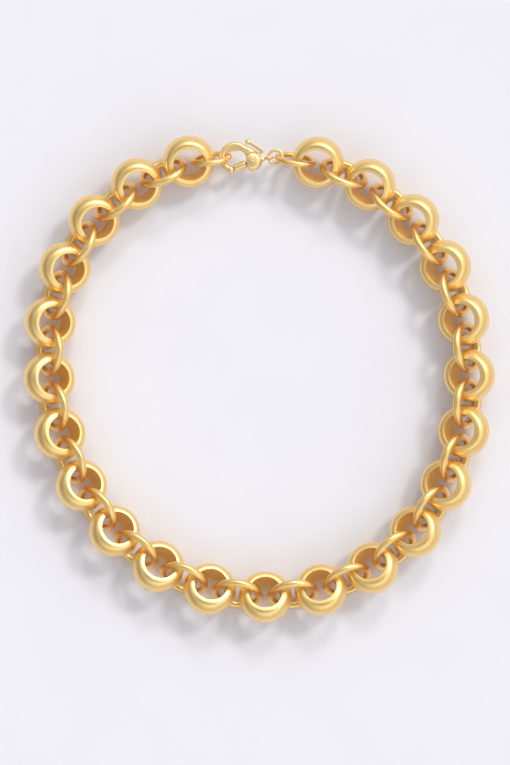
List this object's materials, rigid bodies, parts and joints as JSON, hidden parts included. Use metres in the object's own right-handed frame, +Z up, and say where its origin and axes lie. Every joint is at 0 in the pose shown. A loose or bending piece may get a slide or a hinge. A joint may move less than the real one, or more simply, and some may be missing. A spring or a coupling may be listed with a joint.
{
  "type": "chain necklace",
  "caption": "Chunky gold belcher chain necklace laid in a closed loop: domed rings joined by standing round-wire links, closed by a lobster clasp.",
  "frame": {"origin": "middle of the loop, on the table that the necklace lies on", "axes": "+Z up from the table, +Y toward the clasp at the back, +X to the right as seen from above"},
  "size_m": [0.1568, 0.1619, 0.0155],
  "materials": {
    "ring_gold": "satin gold plate",
    "link_gold": "satin gold plate",
    "clasp_gold": "polished gold plate",
    "spring_steel": "bright spring steel"
  },
  "bodies": {
    "ring_01": {"ring_01": "ring_gold"},
    "ring_02": {"ring_02": "ring_gold"},
    "ring_03": {"ring_03": "ring_gold"},
    "ring_04": {"ring_04": "ring_gold"},
    "ring_05": {"ring_05": "ring_gold"},
    "ring_06": {"ring_06": "ring_gold"},
    "ring_07": {"ring_07": "ring_gold"},
    "ring_08": {"ring_08": "ring_gold"},
    "ring_09": {"ring_09": "ring_gold"},
    "ring_10": {"ring_10": "ring_gold"},
    "ring_11": {"ring_11": "ring_gold"},
    "ring_12": {"ring_12": "ring_gold"},
    "ring_13": {"ring_13": "ring_gold"},
    "ring_14": {"ring_14": "ring_gold"},
    "ring_15": {"ring_15": "ring_gold"},
    "ring_16": {"ring_16": "ring_gold"},
    "ring_17": {"ring_17": "ring_gold"},
    "ring_18": {"ring_18": "ring_gold"},
    "ring_19": {"ring_19": "ring_gold"},
    "ring_20": {"ring_20": "ring_gold"},
    "ring_21": {"ring_21": "ring_gold"},
    "ring_22": {"ring_22": "ring_gold"},
    "ring_23": {"ring_23": "ring_gold"},
    "link_01": {"link_01": "link_gold"},
    "link_02": {"link_02": "link_gold"},
    "link_03": {"link_03": "link_gold"},
    "link_04": {"link_04": "link_gold"},
    "link_05": {"link_05": "link_gold"},
    "link_06": {"link_06": "link_gold"},
    "link_07": {"link_07": "link_gold"},
    "link_08": {"link_08": "link_gold"},
    "link_09": {"link_09": "link_gold"},
    "link_10": {"link_10": "link_gold"},
    "link_11": {"link_11": "link_gold"},
    "link_12": {"link_12": "link_gold"},
    "link_13": {"link_13": "link_gold"},
    "link_14": {"link_14": "link_gold"},
    "link_15": {"link_15": "link_gold"},
    "link_16": {"link_16": "link_gold"},
    "link_17": {"link_17": "link_gold"},
    "link_18": {"link_18": "link_gold"},
    "link_19": {"link_19": "link_gold"},
    "link_20": {"link_20": "link_gold"},
    "link_21": {"link_21": "link_gold"},
    "link_22": {"link_22": "link_gold"},
    "end_link_left": {"end_link_left": "link_gold"},
    "end_link_right": {"end_link_right": "link_gold"},
    "jump_ring": {"jump_ring": "clasp_gold"},
    "clasp_body": {"clasp_body": "clasp_gold", "clasp_rivet": "clasp_gold", "clasp_spring": "spring_steel"},
    "clasp_lever": {"clasp_lever": "clasp_gold"}
  },
  "joints": [
    {"name": "link_12_turn", "type": "hinge", "parent": "ring_12", "child": "link_12", "pos_m": [0.00912, -0.07391, 0.00789], "axis": [0, 0, 1], "range_deg": [-5.05, 5.05]},
    {"name": "ring_13_turn", "type": "hinge", "parent": "link_12", "child": "ring_13", "pos_m": [0.0134, -0.07337, 0.00739], "axis": [0, 0, 1], "range_deg": [-4.81, 4.81]},
    {"name": "link_13_turn", "type": "hinge", "parent": "ring_13", "child": "link_13", "pos_m": [0.02722, -0.06962, 0.00792], "axis": [0, 0, 1], "range_deg": [-3.65, 3.65]},
    {"name": "ring_14_turn", "type": "hinge", "parent": "link_13", "child": "ring_14", "pos_m": [0.03118, -0.06791, 0.00739], "axis": [0, 0, 1], "range_deg": [-3.22, 3.22]},
    {"name": "link_14_turn", "type": "hinge", "parent": "ring_14", "child": "link_14", "pos_m": [0.04334, -0.06036, 0.00792], "axis": [0, 0, 1], "range_deg": [-1.6, 1.6]},
    {"name": "ring_15_turn", "type": "hinge", "parent": "link_14", "child": "ring_15", "pos_m": [0.04663, -0.05757, 0.00739], "axis": [0, 0, 1], "range_deg": [-1.06, 1.06]},
    {"name": "link_15_turn", "type": "hinge", "parent": "ring_15", "child": "link_15", "pos_m": [0.0561, -0.04683, 0.00793], "axis": [0, 0, 1], "range_deg": [-1.35, 1.35]},
    {"name": "ring_16_turn", "type": "hinge", "parent": "link_15", "child": "ring_16", "pos_m": [0.05846, -0.04322, 0.00741], "axis": [0, 0, 1], "range_deg": [-1.9, 1.9]},
    {"name": "link_16_turn", "type": "hinge", "parent": "ring_16", "child": "link_16", "pos_m": [0.06466, -0.0303, 0.00791], "axis": [0, 0, 1], "range_deg": [-3.59, 3.59]},
    {"name": "ring_17_turn", "type": "hinge", "parent": "link_16", "child": "ring_17", "pos_m": [0.06601, -0.02621, 0.00745], "axis": [0, 0, 1], "range_deg": [-4.03, 4.03]},
    {"name": "link_17_turn", "type": "hinge", "parent": "ring_17", "child": "link_17", "pos_m": [0.06898, -0.01217, 0.00786], "axis": [0, 0, 1], "range_deg": [-5.1, 5.1]},
    {"name": "ring_18_turn", "type": "hinge", "parent": "link_17", "child": "ring_18", "pos_m": [0.06942, -0.00789, 0.00747], "axis": [0, 0, 1], "range_deg": [-5.27, 5.27]},
    {"name": "link_18_turn", "type": "hinge", "parent": "ring_18", "child": "link_18", "pos_m": [0.06939, 0.00647, 0.00784], "axis": [0, 0, 1], "range_deg": [-5.27, 5.27]},
    {"name": "ring_19_turn", "type": "hinge", "parent": "link_18", "child": "ring_19", "pos_m": [0.06895, 0.01076, 0.0075], "axis": [0, 0, 1], "range_deg": [-5.09, 5.09]},
    {"name": "link_19_turn", "type": "hinge", "parent": "ring_19", "child": "link_19", "pos_m": [0.06585, 0.02476, 0.00793], "axis": [0, 0, 1], "range_deg": [-3.96, 3.96]},
    {"name": "ring_20_turn", "type": "hinge", "parent": "link_19", "child": "ring_20", "pos_m": [0.06443, 0.02883, 0.00754], "axis": [0, 0, 1], "range_deg": [-3.5, 3.5]},
    {"name": "link_20_turn", "type": "hinge", "parent": "ring_20", "child": "link_20", "pos_m": [0.05796, 0.04161, 0.00802], "axis": [0, 0, 1], "range_deg": [-1.7, 1.7]},
    {"name": "ring_21_turn", "type": "hinge", "parent": "link_20", "child": "ring_21", "pos_m": [0.05551, 0.04515, 0.00758], "axis": [0, 0, 1], "range_deg": [-1.13, 1.13]},
    {"name": "link_21_turn", "type": "hinge", "parent": "ring_21", "child": "link_21", "pos_m": [0.04576, 0.05561, 0.00809], "axis": [0, 0, 1], "range_deg": [-1.34, 1.34]},
    {"name": "ring_22_turn", "type": "hinge", "parent": "link_21", "child": "ring_22", "pos_m": [0.0424, 0.05831, 0.00766], "axis": [0, 0, 1], "range_deg": [-1.86, 1.86]},
    {"name": "link_22_turn", "type": "hinge", "parent": "ring_22", "child": "link_22", "pos_m": [0.03011, 0.06564, 0.00816], "axis": [0, 0, 1], "range_deg": [-3.39, 3.39]},
    {"name": "loop_squeeze", "type": "hinge", "parent": "link_22", "child": "ring_23", "pos_m": [0.02615, 0.06733, 0.00778], "axis": [0, 0, 1], "range_deg": [-3.47, 3.47]},
    {"name": "end_link_right_turn", "type": "hinge", "parent": "ring_23", "child": "end_link_right", "pos_m": [0.01235, 0.07107, 0.00817], "axis": [0, 0, 1], "range_deg": [-4.77, 4.77]},
    {"name": "jump_ring_turn", "type": "hinge", "parent": "end_link_right", "child": "jump_ring", "pos_m": [0.00687, 0.07212, 0.00778], "axis": [0, 0, 1], "range_deg": [-5.01, 5.01]},
    {"name": "clasp_body_turn", "type": "hinge", "parent": "jump_ring", "child": "clasp_body", "pos_m": [0.00315, 0.07165, 0.00778], "axis": [0, 0, 1], "range_deg": [-5.14, 5.14]},
    {"name": "link_11_turn", "type": "hinge", "parent": "ring_12", "child": "link_11", "pos_m": [-0.00521, -0.07376, 0.00789], "axis": [0, 0, 1], "range_deg": [-5.35, 5.35]},
    {"name": "ring_11_turn", "type": "hinge", "parent": "link_11", "child": "ring_11", "pos_m": [-0.00947, -0.07313, 0.00739], "axis": [0, 0, 1], "range_deg": [-5.28, 5.28]},
    {"name": "link_10_turn", "type": "hinge", "parent": "ring_11", "child": "link_10", "pos_m": [-0.02325, -0.0692, 0.00788], "axis": [0, 0, 1], "range_deg": [-4.43, 4.43]},
    {"name": "ring_10_turn", "type": "hinge", "parent": "link_10", "child": "ring_10", "pos_m": [-0.0272, -0.06747, 0.00738], "axis": [0, 0, 1], "range_deg": [-4.01, 4.01]},
    {"name": "link_09_turn", "type": "hinge", "parent": "ring_10", "child": "link_09", "pos_m": [-0.03944, -0.06003, 0.00788], "axis": [0, 0, 1], "range_deg": [-2.19, 2.19]},
    {"name": "ring_09_turn", "type": "hinge", "parent": "link_09", "child": "ring_09", "pos_m": [-0.04279, -0.05731, 0.00739], "axis": [0, 0, 1], "range_deg": [-1.56, 1.56]},
    {"name": "link_08_turn", "type": "hinge", "parent": "ring_09", "child": "link_08", "pos_m": [-0.05265, -0.04691, 0.00788], "axis": [0, 0, 1], "range_deg": [-1.18, 1.18]},
    {"name": "ring_08_turn", "type": "hinge", "parent": "link_08", "child": "ring_08", "pos_m": [-0.05518, -0.04342, 0.00741], "axis": [0, 0, 1], "range_deg": [-1.79, 1.79]},
    {"name": "link_07_turn", "type": "hinge", "parent": "ring_08", "child": "link_07", "pos_m": [-0.06218, -0.0309, 0.00786], "axis": [0, 0, 1], "range_deg": [-3.55, 3.55]},
    {"name": "ring_07_turn", "type": "hinge", "parent": "link_07", "child": "ring_07", "pos_m": [-0.06384, -0.02693, 0.00744], "axis": [0, 0, 1], "range_deg": [-3.98, 3.98]},
    {"name": "link_06_turn", "type": "hinge", "parent": "ring_07", "child": "link_06", "pos_m": [-0.06796, -0.01317, 0.00783], "axis": [0, 0, 1], "range_deg": [-4.97, 4.97]},
    {"name": "ring_06_turn", "type": "hinge", "parent": "link_06", "child": "ring_06", "pos_m": [-0.06878, -0.00895, 0.00747], "axis": [0, 0, 1], "range_deg": [-5.13, 5.13]},
    {"name": "link_05_turn", "type": "hinge", "parent": "ring_06", "child": "link_05", "pos_m": [-0.07002, 0.00536, 0.00786], "axis": [0, 0, 1], "range_deg": [-5.17, 5.17]},
    {"name": "ring_05_turn", "type": "hinge", "parent": "link_05", "child": "ring_05", "pos_m": [-0.06994, 0.00966, 0.0075], "axis": [0, 0, 1], "range_deg": [-5.05, 5.05]},
    {"name": "link_04_turn", "type": "hinge", "parent": "ring_05", "child": "link_04", "pos_m": [-0.06795, 0.02386, 0.00796], "axis": [0, 0, 1], "range_deg": [-4.17, 4.17]},
    {"name": "ring_04_turn", "type": "hinge", "parent": "link_04", "child": "ring_04", "pos_m": [-0.06683, 0.02802, 0.00754], "axis": [0, 0, 1], "range_deg": [-3.79, 3.79]},
    {"name": "link_03_turn", "type": "hinge", "parent": "ring_04", "child": "link_03", "pos_m": [-0.06114, 0.04115, 0.00806], "axis": [0, 0, 1], "range_deg": [-2.15, 2.15]},
    {"name": "ring_03_turn", "type": "hinge", "parent": "link_03", "child": "ring_03", "pos_m": [-0.05887, 0.04481, 0.00758], "axis": [0, 0, 1], "range_deg": [-1.58, 1.58]},
    {"name": "link_02_turn", "type": "hinge", "parent": "ring_03", "child": "link_02", "pos_m": [-0.04954, 0.05564, 0.00813], "axis": [0, 0, 1], "range_deg": [-1.08, 1.08]},
    {"name": "ring_02_turn", "type": "hinge", "parent": "link_02", "child": "ring_02", "pos_m": [-0.04626, 0.05843, 0.00766], "axis": [0, 0, 1], "range_deg": [-1.69, 1.69]},
    {"name": "link_01_turn", "type": "hinge", "parent": "ring_02", "child": "link_01", "pos_m": [-0.0341, 0.06594, 0.0082], "axis": [0, 0, 1], "range_deg": [-3.5, 3.5]},
    {"name": "ring_01_turn", "type": "hinge", "parent": "link_01", "child": "ring_01", "pos_m": [-0.03015, 0.06765, 0.00778], "axis": [0, 0, 1], "range_deg": [-3.93, 3.93]},
    {"name": "end_link_left_turn", "type": "hinge", "parent": "ring_01", "child": "end_link_left", "pos_m": [-0.01634, 0.0713, 0.00821], "axis": [0, 0, 1], "range_deg": [-4.92, 4.92]},
    {"name": "clasp_lever_trigger", "type": "hinge", "parent": "clasp_body", "child": "clasp_lever", "pos_m": [-0.00171, 0.07103, 0.00778], "axis": [0, 0, -1], "range_deg": [0, 22], "stiffness_Nm_per_rad": 0.001, "springref_deg": -20.05, "deforming": ["clasp_spring"]}
  ],
  "couplings": [
    {"joint": "link_12_turn", "follows": "loop_squeeze", "ratio": 1.366},
    {"joint": "ring_13_turn", "follows": "loop_squeeze", "ratio": 1.298},
    {"joint": "link_13_turn", "follows": "loop_squeeze", "ratio": 0.964},
    {"joint": "ring_14_turn", "follows": "loop_squeeze", "ratio": 0.839},
    {"joint": "link_14_turn", "follows": "loop_squeeze", "ratio": 0.373},
    {"joint": "ring_15_turn", "follows": "loop_squeeze", "ratio": 0.219},
    {"joint": "link_15_turn", "follows": "loop_squeeze", "ratio": -0.302},
    {"joint": "ring_16_turn", "follows": "loop_squeeze", "ratio": -0.46},
    {"joint": "link_16_turn", "follows": "loop_squeeze", "ratio": -0.946},
    {"joint": "ring_17_turn", "follows": "loop_squeeze", "ratio": -1.073},
    {"joint": "link_17_turn", "follows": "loop_squeeze", "ratio": -1.381},
    {"joint": "ring_18_turn", "follows": "loop_squeeze", "ratio": -1.431},
    {"joint": "link_18_turn", "follows": "loop_squeeze", "ratio": -1.43},
    {"joint": "ring_19_turn", "follows": "loop_squeeze", "ratio": -1.378},
    {"joint": "link_19_turn", "follows": "loop_squeeze", "ratio": -1.054},
    {"joint": "ring_20_turn", "follows": "loop_squeeze", "ratio": -0.921},
    {"joint": "link_20_turn", "follows": "loop_squeeze", "ratio": -0.403},
    {"joint": "ring_21_turn", "follows": "loop_squeeze", "ratio": -0.238},
    {"joint": "link_21_turn", "follows": "loop_squeeze", "ratio": 0.298},
    {"joint": "ring_22_turn", "follows": "loop_squeeze", "ratio": 0.449},
    {"joint": "link_22_turn", "follows": "loop_squeeze", "ratio": 0.888},
    {"joint": "end_link_right_turn", "follows": "loop_squeeze", "ratio": 1.286},
    {"joint": "jump_ring_turn", "follows": "loop_squeeze", "ratio": 1.356},
    {"joint": "clasp_body_turn", "follows": "loop_squeeze", "ratio": 1.392},
    {"joint": "link_11_turn", "follows": "loop_squeeze", "ratio": -1.455},
    {"joint": "ring_11_turn", "follows": "loop_squeeze", "ratio": -1.433},
    {"joint": "link_10_turn", "follows": "loop_squeeze", "ratio": -1.189},
    {"joint": "ring_10_turn", "follows": "loop_squeeze", "ratio": -1.068},
    {"joint": "link_09_turn", "follows": "loop_squeeze", "ratio": -0.543},
    {"joint": "ring_09_turn", "follows": "loop_squeeze", "ratio": -0.363},
    {"joint": "link_08_turn", "follows": "loop_squeeze", "ratio": 0.251},
    {"joint": "ring_08_turn", "follows": "loop_squeeze", "ratio": 0.427},
    {"joint": "link_07_turn", "follows": "loop_squeeze", "ratio": 0.936},
    {"joint": "ring_07_turn", "follows": "loop_squeeze", "ratio": 1.06},
    {"joint": "link_06_turn", "follows": "loop_squeeze", "ratio": 1.345},
    {"joint": "ring_06_turn", "follows": "loop_squeeze", "ratio": 1.39},
    {"joint": "link_05_turn", "follows": "loop_squeeze", "ratio": 1.403},
    {"joint": "ring_05_turn", "follows": "loop_squeeze", "ratio": 1.366},
    {"joint": "link_04_turn", "follows": "loop_squeeze", "ratio": 1.115},
    {"joint": "ring_04_turn", "follows": "loop_squeeze", "ratio": 1.004},
    {"joint": "link_03_turn", "follows": "loop_squeeze", "ratio": 0.531},
    {"joint": "ring_03_turn", "follows": "loop_squeeze", "ratio": 0.366},
    {"joint": "link_02_turn", "follows": "loop_squeeze", "ratio": -0.224},
    {"joint": "ring_02_turn", "follows": "loop_squeeze", "ratio": -0.398},
    {"joint": "link_01_turn", "follows": "loop_squeeze", "ratio": -0.92},
    {"joint": "ring_01_turn", "follows": "loop_squeeze", "ratio": -1.045},
    {"joint": "end_link_left_turn", "follows": "loop_squeeze", "ratio": -1.331}
  ]
}
